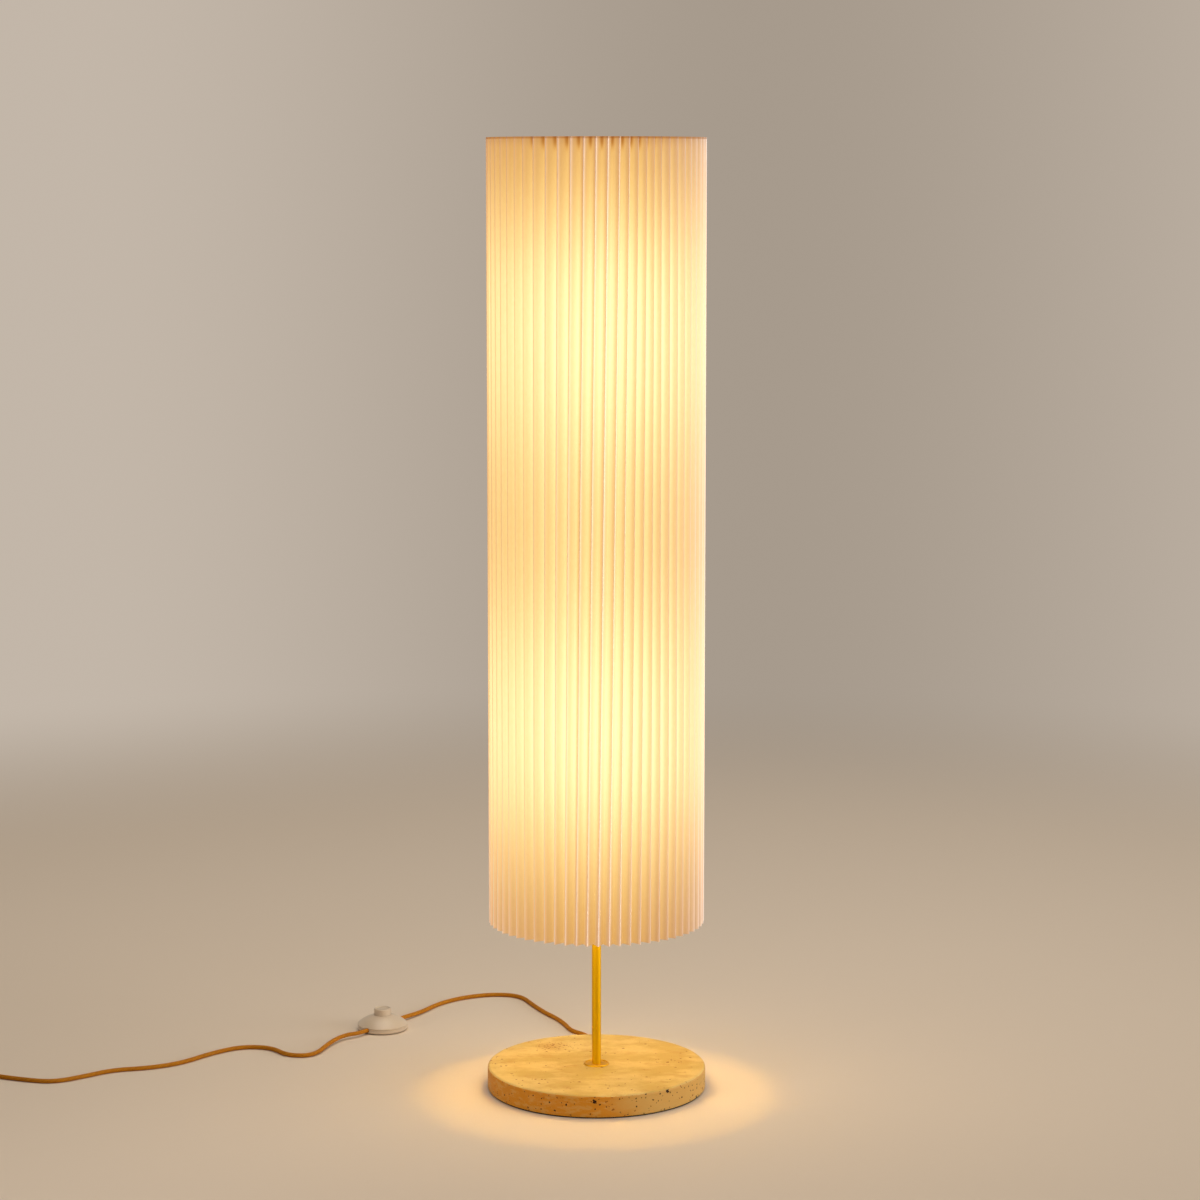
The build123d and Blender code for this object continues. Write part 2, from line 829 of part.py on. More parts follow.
# Coil of the rest of the cord, as the outer shape of five turns
coil_bottom = tie_thickness
with BuildPart() as cord_coil:
    with BuildSketch(Plane.XZ):
        with Locations(((coil_inner + coil_outer) / 2, (coil_bottom + coil_top) / 2)):
            RectangleRounded(coil_outer - coil_inner, coil_top - coil_bottom, cord_radius)
    revolve(axis=Axis.Z)
save(coil_place * cord_coil.part, "cord_coil")

with BuildPart() as coil_tie:
    tie_length = coil_outer - coil_inner + 1
    tie_height = coil_top - coil_bottom
    with BuildSketch(Plane.XZ):
        with Locations(((coil_inner + coil_outer) / 2, (coil_bottom + coil_top) / 2)):
            RectangleRounded(
                tie_length + 2 * tie_thickness,
                tie_height + 2 * tie_thickness,
                cord_radius + tie_thickness,
            )
            RectangleRounded(tie_length, tie_height, cord_radius, mode=Mode.SUBTRACT)
    extrude(amount=tie_width / 2, both=True)
save(coil_place * coil_tie.part.rotate(Axis.Z, -60), "coil_tie")

# Flat two-pin plug, its outline narrowing to a ribbed neck
with BuildPart() as plug_body:
    with BuildSketch(Plane.XY):
        with BuildLine():
            Polyline(
                (plug_front, -plug_half_width + plug_corner),
                (plug_front, plug_half_width - plug_corner),
                (plug_front - plug_corner, plug_half_width),
                (plug_front - plug_shoulder, plug_half_width),
                (plug_back + plug_shoulder, plug_waist_half_width),
                (plug_back, plug_neck_half_width),
                (plug_back, -plug_neck_half_width),
                (plug_back + plug_shoulder, -plug_waist_half_width),
                (plug_front - plug_shoulder, -plug_half_width),
                (plug_front - plug_corner, -plug_half_width),
                close=True,
            )
        make_face()
    extrude(amount=plug_thickness)
    faces_flat = plug_body.faces().filter_by(Axis.Z)
    fillet(faces_flat.edges(), radius=plug_round)
    with BuildSketch(Plane.YZ.offset(plug_back + 1)):
        with Locations((0, plug_thickness / 2)):
            Circle(neck_radius)
    with BuildSketch(Plane.YZ):
        with Locations((0, plug_thickness / 2)):
            Circle(cord_radius + sleeve_wall)
    loft()
    for rib in range(rib_count):
        with BuildSketch(Plane.YZ.offset(rib_start + rib * rib_pitch)):
            with Locations((0, plug_thickness / 2)):
                Circle(cord_radius + sleeve_wall + rib_height + rib_growth * rib)
        extrude(amount=rib_width)
save(plug_place * plug_body.part, "plug_body")

with BuildPart() as plug_pins:
    with BuildSketch(Plane.YZ.offset(plug_front)):
        with Locations((0, plug_thickness / 2)):
            with GridLocations(pin_spacing, 1, 2, 1):
                Circle(pin_radius)
    extrude(amount=pin_length)
    fillet(plug_pins.edges().filter_by(GeomType.CIRCLE).group_by(Axis.X)[-1], radius=1)
save(plug_place * plug_pins.part, "plug_pins")

# Foot switch: the pad, the lower shell and the domed cover that close on the cord
with BuildPart() as switch_foot_pad:
    with BuildSketch():
        Circle(switch_radius - 1.5 * switch_wall)
    extrude(amount=switch_pad)
save(switch_place * switch_foot_pad.part, "switch_foot_pad")

# The two round holes in the rim, one opposite the other, through the walls alone
with BuildPart() as cord_holes:
    for side in (-1, 1):
        with BuildSketch(Plane.YZ.offset(side * (switch_radius - 3 * switch_wall))):
            with Locations((0, switch_hole_height)):
                Circle(switch_hole)
        extrude(amount=side * 4 * switch_wall)

with BuildPart() as switch_base:
    with BuildSketch(Plane.XZ):
        with BuildLine():
            Polyline(
                (0, switch_pad),
                (switch_radius - 2 * switch_groove, switch_pad),
                (switch_radius, switch_pad + 2 * switch_groove),
                (switch_radius, switch_seam - switch_groove),
                (switch_radius - switch_groove, switch_seam),
                (switch_radius - switch_wall, switch_seam),
                (switch_radius - switch_wall, switch_floor),
                (0, switch_floor),
                close=True,
            )
        make_face()
    revolve(axis=Axis.Z)
    with BuildSketch(Plane.XY.offset(switch_floor)):
        Circle(spring_radius - spring_wire - button_gap)
    extrude(amount=spring_boss)
    add(cord_holes.part, mode=Mode.SUBTRACT)
    with Locations(Plane(origin=(0, 0, switch_pad), z_dir=(0, 0, -1))):
        with PolarLocations(post_circle, post_count, start_angle=45):
            CounterSinkHole(post_screw + 2 * thread_gap, 2 * post_screw, depth=switch_wall)
save(switch_place * switch_base.part, "switch_base")

# Room inside the cover, with the four screw posts left standing
cover_rise = switch_top - switch_wall
room_radius = switch_radius - switch_wall
with BuildPart() as cover_room:
    with BuildSketch(Plane.XZ):
        with BuildLine():
            Polyline(
                (0, cover_rise),
                (0, switch_floor),
                (room_radius, switch_floor),
                (room_radius, switch_rim_top - switch_groove),
            )
            RadiusArc(
                (room_radius, switch_rim_top - switch_groove),
                (button_flange + 1, cover_rise),
                -dome_radius + 2 * switch_wall,
            )
            Line((button_flange + 1, cover_rise), (0, cover_rise))
        make_face()
    revolve(axis=Axis.Z)
    with BuildSketch(Plane.XY.offset(switch_floor)):
        with PolarLocations(post_circle, post_count, start_angle=45):
            Circle(post_radius)
    extrude(amount=switch_top, mode=Mode.SUBTRACT)

# The cover's skirt stands inside the wall of the lower shell, below the seam
with BuildPart() as switch_cover:
    with BuildSketch(Plane.XZ):
        with BuildLine():
            Polyline(
                (0, switch_top),
                (0, switch_floor),
                (room_radius - switch_lap, switch_floor),
                (room_radius - switch_lap, switch_seam),
                (switch_radius - switch_groove, switch_seam),
                (switch_radius, switch_seam + switch_groove),
                (switch_radius, switch_rim_top),
            )
            RadiusArc(
                (switch_radius, switch_rim_top),
                (button_radius + 1.5, switch_top),
                -dome_radius,
            )
            Line((button_radius + 1.5, switch_top), (0, switch_top))
        make_face()
    revolve(axis=Axis.Z)
    add(cover_room.part, mode=Mode.SUBTRACT)
    with BuildSketch(Plane.XY.offset(switch_seam)):
        Circle(button_radius + button_gap)
    extrude(amount=switch_top, mode=Mode.SUBTRACT)
    with BuildSketch(Plane.XY.offset(switch_floor)):
        with PolarLocations(post_circle, post_count, start_angle=45):
            Circle(post_screw)
    extrude(amount=post_screw_length, mode=Mode.SUBTRACT)
    add(cord_holes.part, mode=Mode.SUBTRACT)
save(switch_place * switch_cover.part, "switch_cover")

# Button, a cap with a dished top and a flange that keeps it under the cover
with BuildPart() as switch_button:
    with BuildSketch(Plane.XY.offset(button_bottom)):
        Circle(button_radius)
    extrude(amount=button_top - button_bottom)
    top_rim = switch_button.edges().filter_by(GeomType.CIRCLE).sort_by(Axis.Z)[-1]
    fillet(top_rim, radius=button_round)
    with BuildSketch(Plane.XY.offset(button_top)):
        Circle(button_radius - button_rim)
    extrude(amount=-button_dish, taper=45, mode=Mode.SUBTRACT)
    with BuildSketch(Plane.XY.offset(button_bottom)):
        Circle(button_flange)
    extrude(amount=switch_wall)
    with BuildSketch(Plane.XY.offset(button_bottom)):
        Circle(button_bore)
    extrude(amount=button_top - button_roof - button_bottom, mode=Mode.SUBTRACT)
save(switch_place * switch_button.part, "switch_button")

# Return spring between the lower shell and the roof of the button
spring_height = button_top - button_roof - switch_floor - 2 * spring_wire
with BuildPart() as switch_spring:
    with BuildLine(Plane.XY.offset(switch_floor + spring_wire)) as path:
        Helix(spring_height / spring_turns, spring_height, spring_radius)
    with BuildSketch(Plane(origin=path.line @ 0, z_dir=path.line % 0)):
        Circle(spring_wire)
    sweep(is_frenet=True)
save(switch_place * switch_spring.part, "switch_spring")

# Contact block beside the button, with its two terminals
with BuildPart() as switch_contacts:
    with BuildSketch(Plane.XY.offset(switch_floor)):
        with Locations((0, contact_place)):
            RectangleRounded(*contact_size, 1)
    extrude(amount=contact_height)
    with BuildSketch(Plane.XY.offset(switch_floor + contact_height)):
        with Locations((0, contact_place)):
            with GridLocations(contact_size[0] / 2, 1, 2, 1):
                Circle(terminal_radius)
    extrude(amount=terminal_height)
save(switch_place * switch_contacts.part, "switch_contacts")

# Two blocks that hold the ends of the cord
with BuildPart() as switch_grips:
    with BuildSketch(Plane.XY.offset(switch_floor)):
        with GridLocations(2 * grip_end - grip_size[0], 1, 2, 1):
            RectangleRounded(*grip_size, 1)
    extrude(amount=2 * (switch_hole_height - switch_floor))
save(switch_place * switch_grips.part, "switch_grips")

# Screws from below into the posts of the cover
with BuildPart() as switch_screws:
    with BuildSketch(Plane.XY.offset(switch_pad)):
        with PolarLocations(post_circle, post_count, start_angle=45):
            Circle(2 * post_screw)
    extrude(amount=2 * post_screw, taper=44)
    with BuildSketch(Plane.XY.offset(switch_pad)):
        with PolarLocations(post_circle, post_count, start_angle=45):
            Circle(post_screw)
    extrude(amount=post_screw_length)
save(switch_place * switch_screws.part, "switch_screws")
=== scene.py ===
import math
import random

import bmesh
import bpy
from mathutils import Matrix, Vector


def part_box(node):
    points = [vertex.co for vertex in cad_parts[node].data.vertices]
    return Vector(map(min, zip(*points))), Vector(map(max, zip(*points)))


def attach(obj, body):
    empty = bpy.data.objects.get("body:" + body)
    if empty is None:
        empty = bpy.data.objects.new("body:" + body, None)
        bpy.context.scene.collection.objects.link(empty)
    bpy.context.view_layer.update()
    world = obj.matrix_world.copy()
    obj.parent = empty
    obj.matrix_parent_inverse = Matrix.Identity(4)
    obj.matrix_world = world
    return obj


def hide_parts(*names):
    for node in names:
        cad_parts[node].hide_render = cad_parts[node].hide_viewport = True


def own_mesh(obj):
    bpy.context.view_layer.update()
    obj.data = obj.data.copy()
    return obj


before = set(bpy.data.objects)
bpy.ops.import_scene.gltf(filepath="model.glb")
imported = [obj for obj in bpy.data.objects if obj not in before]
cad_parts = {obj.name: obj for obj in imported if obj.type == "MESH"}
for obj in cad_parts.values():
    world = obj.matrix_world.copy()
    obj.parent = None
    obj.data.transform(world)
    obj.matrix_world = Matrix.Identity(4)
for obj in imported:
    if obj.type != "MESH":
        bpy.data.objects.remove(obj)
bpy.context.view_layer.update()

# The view: a long lens four metres in front of the lamp, a little below the shade's top edge
# and tipped down to take in the floor.
tipped_down = 6.801
camera_data = bpy.data.cameras.new("front_view")
camera_data.sensor_width = 36.0
camera_data.lens = 92.95
camera_data.shift_y = -0.05
camera = bpy.data.objects.new("front_view", camera_data)
camera.location = (0.00488, -4.1621, 1.2561)
camera.rotation_euler = (math.radians(90.0 - tipped_down), 0.0, 0.0)
bpy.context.scene.collection.objects.link(camera)
bpy.context.scene.camera = camera
bpy.context.scene.view_settings.view_transform = "Standard"

# The room: a plain pale floor that runs out into a background of the same warm grey, a little
# deeper behind the lamp than beside it. A large soft light on the right, a soft one overhead,
# a weak narrow beam on the foot from the left and a weak fill light the lamp from outside.
wall_pale, wall_deep = (0.545, 0.470, 0.395), (0.385, 0.325, 0.265)
floor_colour = (0.76, 0.63, 0.50)
floor_near, floor_far, room_depth = 1.7, 3.4, 4.2


def deselect():
    bpy.ops.object.select_all(action="DESELECT")


def node(tree, kind, settings=None, inputs=None, out=0):
    """A new shader node; each input is a number, a colour or the socket that feeds it."""
    made = tree.nodes.new(kind)
    for name, value in (settings or {}).items():
        setattr(made, name, value)
    for name, value in (inputs or {}).items():
        if isinstance(value, bpy.types.NodeSocket):
            tree.links.new(value, made.inputs[name])
        else:
            made.inputs[name].default_value = value
    return made.outputs[out] if len(made.outputs) else made


def calc(tree, operation, first, second=0.5):
    """One step of arithmetic on sockets or numbers."""
    return node(tree, "ShaderNodeMath", {"operation": operation}, {0: first, 1: second})


def ramp(tree, value, low, high, start=0.0, end=1.0):
    """Goes smoothly from start to end as value goes from low to high."""
    settings = {"interpolation_type": "SMOOTHSTEP"}
    inputs = {"Value": value, 1: low, 2: high, 3: start, 4: end}
    return node(tree, "ShaderNodeMapRange", settings, inputs)


def blend_colour(tree, share, first, second):
    """The first colour where share is 0 and the second where it is 1."""
    mix = tree.nodes.new("ShaderNodeMix")
    mix.data_type = "RGBA"
    for slot, value in ((0, share), (6, first), (7, second)):
        if isinstance(value, bpy.types.NodeSocket):
            tree.links.new(value, mix.inputs[slot])
        elif slot:
            mix.inputs[slot].default_value = (*value, 1)
        else:
            mix.inputs[slot].default_value = value
    return mix.outputs[2]


def place(tree, scale=(1, 1, 1)):
    """Object coordinates in metres, stretched where a pattern runs one way."""
    here = node(tree, "ShaderNodeTexCoord", out="Object")
    return node(tree, "ShaderNodeMapping", inputs={"Vector": here, "Scale": scale})


def cloud(tree, where, scale, detail=3.0, rough=0.5):
    inputs = {"Vector": where, "Scale": scale, "Detail": detail, "Roughness": rough}
    return node(tree, "ShaderNodeTexNoise", inputs=inputs)


def only_seen(tree):
    """1 for what the camera sees directly, in a mirror surface or through glass."""
    seen = node(tree, "ShaderNodeLightPath", out="Is Camera Ray")
    mirrored = node(tree, "ShaderNodeLightPath", out="Is Glossy Ray")
    through = node(tree, "ShaderNodeLightPath", out="Is Transmission Ray")
    return calc(tree, "MAXIMUM", calc(tree, "MAXIMUM", seen, mirrored), through)


def level_way(tree, towards):
    """How far right and how far back a direction points, each from -1 to 1, whatever its height."""
    level = node(tree, "ShaderNodeVectorMath", {"operation": "MULTIPLY"}, {0: towards, 1: (1, 1, 0)})
    heading = node(tree, "ShaderNodeVectorMath", {"operation": "NORMALIZE"}, {0: level})
    rightward = node(tree, "ShaderNodeSeparateXYZ", inputs={0: heading})
    return rightward, rightward.node.outputs["Y"]


def wall_colour(tree, towards, behind):
    """The background, deepest just right of straight behind the lamp, as far as it is behind."""
    rightward = level_way(tree, towards)[0]
    left = ramp(tree, rightward, -0.17, 0.05)
    right = ramp(tree, rightward, 0.05, 0.30, 1.0, 0.0)
    deep = calc(tree, "MULTIPLY", calc(tree, "MINIMUM", left, right), behind)
    return blend_colour(tree, deep, wall_pale, wall_deep)


world = bpy.data.worlds.new("soft_room")
bpy.context.scene.world = world
world.use_nodes = True
room = world.node_tree
room.nodes.clear()
outward = node(room, "ShaderNodeTexCoord", out="Generated")
rightward, backward = level_way(room, outward)
fill_level = ramp(room, rightward, -0.9, 0.6, 0.10, 0.37)
fill = node(room, "ShaderNodeBackground", inputs={"Color": (1.0, 0.95, 0.88, 1), "Strength": fill_level})
behind = ramp(room, backward, 0.0, 0.5)
flat = node(room, "ShaderNodeBackground", inputs={"Color": wall_colour(room, outward, behind)})
either = node(room, "ShaderNodeMixShader", inputs={0: only_seen(room), 1: fill, 2: flat})
node(room, "ShaderNodeOutputWorld", inputs={"Surface": either})

deselect()
bpy.ops.mesh.primitive_circle_add(vertices=96, radius=60.0, fill_type="NGON")
floor = bpy.context.active_object
floor.name = "floor"
floor_paint = bpy.data.materials.new("floor_paint")
floor_paint.use_nodes = True
tree = floor_paint.node_tree
tree.nodes.clear()
spot = place(tree)
distance = node(tree, "ShaderNodeVectorMath", {"operation": "LENGTH"}, {0: spot}, out="Value")
near = node(tree, "ShaderNodeBsdfDiffuse", inputs={"Color": (*floor_colour, 1)})
fanned = node(tree, "ShaderNodeVectorMath", {"operation": "SUBTRACT"}, {0: spot, 1: (0, -room_depth, 0)})
behind = ramp(tree, node(tree, "ShaderNodeSeparateXYZ", inputs={0: spot}, out="Y"), 0.0, 2.5)
away = node(tree, "ShaderNodeEmission", inputs={"Color": wall_colour(tree, fanned, behind)})
far_share = calc(tree, "MULTIPLY", ramp(tree, distance, floor_near, floor_far), only_seen(tree))
laid = node(tree, "ShaderNodeMixShader", inputs={0: far_share, 1: near, 2: away})
node(tree, "ShaderNodeOutputMaterial", inputs={"Surface": laid})
floor.data.materials.append(floor_paint)


def soft_light(name, location, width, height, energy, colour, aim=(0, 0, 0.6)):
    """A rectangular light that faces the lamp, at half its height unless aim says otherwise."""
    data = bpy.data.lights.new(name, "AREA")
    data.shape = "RECTANGLE"
    data.size, data.size_y = width, height
    data.energy, data.color = energy, colour
    light = bpy.data.objects.new(name, data)
    light.location = location
    light.rotation_euler = (Vector(aim) - light.location).to_track_quat("-Z", "Y").to_euler()
    bpy.context.scene.collection.objects.link(light)
    return data


soft_light("soft_key", (6.1, -1.5, 1.1), 4.6, 2.2, 230.0, (0.92, 0.97, 1.0))
soft_light("soft_top", (-0.1, 0.5, 3.6), 2.6, 2.6, 51.0, (1.0, 0.95, 0.88))
low_beam = soft_light("low_beam", (-2.2, -2.0, 0.5), 0.5, 0.3, 0.45, (1.0, 0.96, 0.92), (-0.1, 0, 0))
low_beam.spread = math.radians(24)

# What the lit paper throws down through the open mouth of the shade, as a wide soft pool.
mouth_glow = bpy.data.lights.new("mouth_glow", "AREA")
mouth_glow.shape, mouth_glow.size = "DISK", 0.20
mouth_glow.energy, mouth_glow.color = 0.32, (0.95, 0.74, 0.46)
mouth = bpy.data.objects.new("mouth_glow", mouth_glow)
mouth.location = (0, 0, 0.236)
mouth.visible_camera = False
bpy.context.scene.collection.objects.link(mouth)

# The spill of the whole lit shade on the floor round it.
spill_light = bpy.data.lights.new("floor_spill", "SPOT")
spill_light.energy, spill_light.color = 38.0, (1.0, 0.84, 0.64)
spill_light.spot_size, spill_light.spot_blend = math.radians(24), 1.0
spill_light.shadow_soft_size = 0.4
spill = bpy.data.objects.new("floor_spill", spill_light)
spill.location = (0.05, -0.22, 3.0)
bpy.context.scene.collection.objects.link(spill)


# The foot is a honed disc of travertine, warm cream, with small open pits and a few larger
# holes round its edge. Under it a thin dark pad keeps it off the floor; the pad is painted near
# black, its own colour and the shadow line under the stone's edge in one.
def surface(name, values):
    """A Principled surface whose even values are set on its own sockets."""
    material = bpy.data.materials.new(name)
    material.use_nodes = True
    shader = material.node_tree.nodes["Principled BSDF"]
    for socket, value in values.items():
        shader.inputs[socket].default_value = value
    return material, material.node_tree, shader


def bump(tree, shader, height, strength, reach):
    inputs = {"Height": height, "Strength": strength, "Distance": reach}
    raised = node(tree, "ShaderNodeBump", inputs=inputs)
    tree.links.new(raised, shader.inputs["Normal"])


def dress(material, *names):
    """Gives solids of the frame their finish."""
    for name in names:
        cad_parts[name].data.materials.clear()
        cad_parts[name].data.materials.append(material)


cream, pale_cream, honey = (0.52, 0.350, 0.095), (0.64, 0.465, 0.17), (0.45, 0.23, 0.04)
pit_brown, hole_shade = (0.22, 0.060, 0.004), (0.03, 0.010, 0.002)
shaded_side_brown, lit_side_cream = (0.56, 0.20, 0.002), (0.56, 0.31, 0.075)
pit_patch = (-0.062, 0.085, 0.0315)
stone_edge = 0.1493
travertine, tree, shader = surface("travertine", {"Roughness": 0.5, "Specular IOR Level": 0.15})
here = place(tree)
layers = place(tree, (1.0, 1.5, 3.0))
broad = ramp(tree, cloud(tree, layers, 13.0, 5.0, 0.6), 0.40, 0.60)
veined = ramp(tree, cloud(tree, layers, 30.0, 6.0, 0.62), 0.50, 0.72)
stone = blend_colour(tree, broad, cream, pale_cream)
stone = blend_colour(tree, calc(tree, "MULTIPLY", veined, 0.5), stone, honey)
grain = cloud(tree, here, 520.0, 2.0)
stone = blend_colour(tree, ramp(tree, grain, 0.35, 0.75, 0.0, 0.16), stone, honey)
parts = node(tree, "ShaderNodeSeparateXYZ", inputs={0: here}, out="X")
across, along = (parts.node.outputs[axis] for axis in "XY")
flat_place = node(tree, "ShaderNodeCombineXYZ", inputs={0: across, 1: along})
from_axis = node(tree, "ShaderNodeVectorMath", {"operation": "LENGTH"}, {0: flat_place}, out="Value")
rim = calc(tree, "GREATER_THAN", from_axis, stone_edge)
# The stone's side is painted with light and shade: a deeper, more orange copy of the stone where the side
# is in shade, paler cream towards the right where the light falls, with random mottling mixed in.
lit_from_right = calc(tree, "ADD", across, calc(tree, "MULTIPLY", cloud(tree, layers, 12.0, 3.0), 0.12))
mottled = ramp(tree, cloud(tree, layers, 65.0, 5.0, 0.7), 0.48, 0.62, 0.0, 0.6)
side_lit_and_mottled = calc(tree, "MAXIMUM", ramp(tree, lit_from_right, 0.07, 0.15), mottled)
side_lit_and_shaded = blend_colour(tree, side_lit_and_mottled, shaded_side_brown, lit_side_cream)
stone = blend_colour(tree, calc(tree, "MULTIPLY", rim, 0.9), stone, side_lit_and_shaded)


def pores(cells, widest, share):
    """Round pores of uneven size, in a share of the small cells that the stone is divided into."""
    spots = node(tree, "ShaderNodeTexVoronoi", {"feature": "F1"}, {"Vector": here, "Scale": cells})
    drawn = node(tree, "ShaderNodeSeparateColor", inputs={0: spots.node.outputs["Color"]})
    chosen = calc(tree, "GREATER_THAN", calc(tree, "ADD", drawn, share), 1.0)
    size = ramp(tree, drawn.node.outputs["Green"], 0.0, 1.0, 0.35 * widest, widest)
    uneven = ramp(tree, cloud(tree, here, 5.0 * cells, 2.0), 0.3, 0.7, 0.5, 1.3)
    reach = calc(tree, "MULTIPLY", calc(tree, "MULTIPLY", size, chosen), uneven)
    return calc(tree, "LESS_THAN", spots, reach)


cluster = ramp(tree, cloud(tree, here, 19.0, 2.0), 0.52, 0.70, 0.04, 0.20)
patch = node(tree, "ShaderNodeVectorMath", {"operation": "DISTANCE"}, {0: here, 1: pit_patch}, out="Value")
cluster = calc(tree, "MAXIMUM", cluster, ramp(tree, patch, 0.014, 0.036, 0.95, 0.05))
stone = blend_colour(tree, ramp(tree, patch, 0.006, 0.032, 0.45, 0.0), stone, honey)
pits = calc(tree, "MAXIMUM", pores(130.0, 0.28, cluster), pores(230.0, 0.34, cluster))
wide_holes = pores(80.0, 0.24, calc(tree, "MULTIPLY", rim, 0.36))
narrow_holes = pores(180.0, 0.26, calc(tree, "MULTIPLY", rim, 0.60))
holes = calc(tree, "MAXIMUM", wide_holes, narrow_holes)
stone = blend_colour(tree, calc(tree, "MULTIPLY", pits, 0.9), stone, pit_brown)
# The holes are painted near black for the shade inside them.
stone = blend_colour(tree, holes, stone, hole_shade)
tree.links.new(stone, shader.inputs["Base Color"])
sunk = calc(tree, "ADD", holes, calc(tree, "MULTIPLY", pits, 0.3))
relief = calc(tree, "SUBTRACT", calc(tree, "MULTIPLY", grain, 0.06), sunk)
bump(tree, shader, relief, 0.8, 0.0015)
dress(travertine, "base_stone")

foam_pad, tree, shader = surface("foam_pad", {"Roughness": 1.0, "Specular IOR Level": 0.1})
# Near black: the pad's own dark colour and the painted shadow line under the stone together.
shader.inputs["Base Color"].default_value = (0.012, 0.010, 0.009, 1)
bump(tree, shader, cloud(tree, place(tree), 900.0), 0.4, 0.0004)
dress(foam_pad, "base_pad")

# Under the stone a zinc plated tube, washer and nut pull the pole down, and a nylon clamp with
# two screws grips the cord. The screws of the pole's clamps and of the switch are plated too.
zinc, tree, shader = surface("zinc_plate", {"Metallic": 1.0, "Roughness": 0.4})
dull = blend_colour(tree, cloud(tree, place(tree), 260.0), (0.58, 0.58, 0.56), (0.72, 0.72, 0.68))
tree.links.new(dull, shader.inputs["Base Color"])
dress(zinc, "base_washer", "base_nut", "base_tube", "tee_screws", "clamp_screws", "switch_screws")

nylon, tree, shader = surface("natural_nylon", {"Roughness": 0.5})
milky = blend_colour(tree, cloud(tree, place(tree), 70.0), (0.78, 0.76, 0.71), (0.84, 0.82, 0.78))
tree.links.new(milky, shader.inputs["Base Color"])
dress(nylon, "cord_clamp", "switch_contacts", "switch_grips")


# The pole, its flange and its fittings are brass tube and turned brass with a satin face. The
# tube is brushed along its length and the turned pieces round their axis.
def brass(name, stretch, bright, deep, rough):
    """Satin brass whose brush lines run along the axis that the stretch leaves coarse."""
    material, tree, shader = surface(name, {"Metallic": 0.75, "Specular IOR Level": 0.2})
    lines = cloud(tree, place(tree, stretch), 1.0, 4.0, 0.6)
    tone = blend_colour(tree, ramp(tree, lines, 0.3, 0.7), deep, bright)
    tree.links.new(tone, shader.inputs["Base Color"])
    tree.links.new(ramp(tree, lines, 0.3, 0.7, rough - 0.05, rough + 0.05), shader.inputs["Roughness"])
    bump(tree, shader, lines, 0.25, 0.0002)
    return material


tube_brass = brass("brushed_brass_tube", (2600, 2600, 9), (0.69, 0.40, 0.001), (0.63, 0.34, 0.001), 0.5)
turned_brass = brass("turned_brass", (500, 500, 3000), (0.76, 0.42, 0.02), (0.58, 0.30, 0.012), 0.42)
dress(tube_brass, "pole_lower", "pole_upper", "pole_joiner")
dress(turned_brass, "pole_flange", "pole_foot_plug", "pole_top_plug", "top_nut", "hub_screw")

# Two short arms carry the lampholders. Each has a turned clamp on the pole, a bent tube, and
# two insulated wires inside.
dress(turned_brass, "upper_tee", "lower_tee", "upper_holder_contacts", "lower_holder_contacts")
dress(tube_brass, "upper_arm", "lower_arm")
sleeve, tree, shader = surface("wire_sleeve", {"Roughness": 0.45})
tinted = blend_colour(tree, cloud(tree, place(tree), 90.0), (0.76, 0.74, 0.68), (0.84, 0.82, 0.76))
tree.links.new(tinted, shader.inputs["Base Color"])
dress(sleeve, "pole_wires", "lamp_leads")

# The lampholders are white moulded shells round a glazed ceramic core. The cap sits on the end
# of the arm, and the threaded sleeve and the tongue that feed the bulb stand in the core.
holder_white, tree, shader = surface("holder_white", {"Roughness": 0.36})
moulded = cloud(tree, place(tree), 45.0)
white = blend_colour(tree, moulded, (0.84, 0.83, 0.79), (0.90, 0.89, 0.86))
tree.links.new(white, shader.inputs["Base Color"])
bump(tree, shader, cloud(tree, place(tree), 1400.0), 0.1, 0.0002)
glaze, tree, shader = surface("white_glaze", {"Roughness": 0.12, "Coat Weight": 0.4})
fired = blend_colour(tree, cloud(tree, place(tree), 30.0), (0.86, 0.85, 0.81), (0.92, 0.91, 0.88))
tree.links.new(fired, shader.inputs["Base Color"])
for lamp in ("upper", "lower"):
    dress(holder_white, f"{lamp}_holder_cap", f"{lamp}_holder_shell")
    dress(glaze, f"{lamp}_holder_core")

# Two globe bulbs of opal glass with plain metal caps screw into the holders. They are lit, and
# they light the paper from inside.
bulb_light, bulb_power = (1.0, 0.60, 0.12), 165.0
bulb_dimmer = tuple(0.97 * channel for channel in bulb_light)
opal, tree, shader = surface("opal_glass", {"Base Color": (0.97, 0.95, 0.9, 1), "Roughness": 0.35})
lit = blend_colour(tree, cloud(tree, place(tree), 20.0), bulb_light, bulb_dimmer)
tree.links.new(lit, shader.inputs["Emission Color"])
shader.inputs["Emission Strength"].default_value = bulb_power
cap_metal, tree, shader = surface("bulb_cap_metal", {"Metallic": 1.0, "Roughness": 0.35})
bare = blend_colour(tree, cloud(tree, place(tree), 300.0), (0.72, 0.72, 0.72), (0.82, 0.82, 0.82))
tree.links.new(bare, shader.inputs["Base Color"])
for lamp in ("upper", "lower"):
    dress(opal, f"{lamp}_bulb_globe")
    dress(cap_metal, f"{lamp}_bulb_cap")

# The shade is one long sheet of stiff translucent paper folded into sixty pleats and closed
# with a glued lap at the back. At the front the folds lean a little to the right.
pleats = 60
panels = 2 * pleats
fold_step = math.radians(180 / pleats)
tip_radius, valley_radius = 0.148, 0.133
shade_low, shade_high = 0.234, 1.300
paper_thickness = 0.0005
panel_cuts, height_steps = 2, 26
lean, lean_middle = math.radians(5.1), math.radians(-86)
lean_left, lean_right = math.radians(43), math.radians(33)
gather, gather_from = math.radians(1.7), math.radians(-72)
lap_fold = pleats // 2

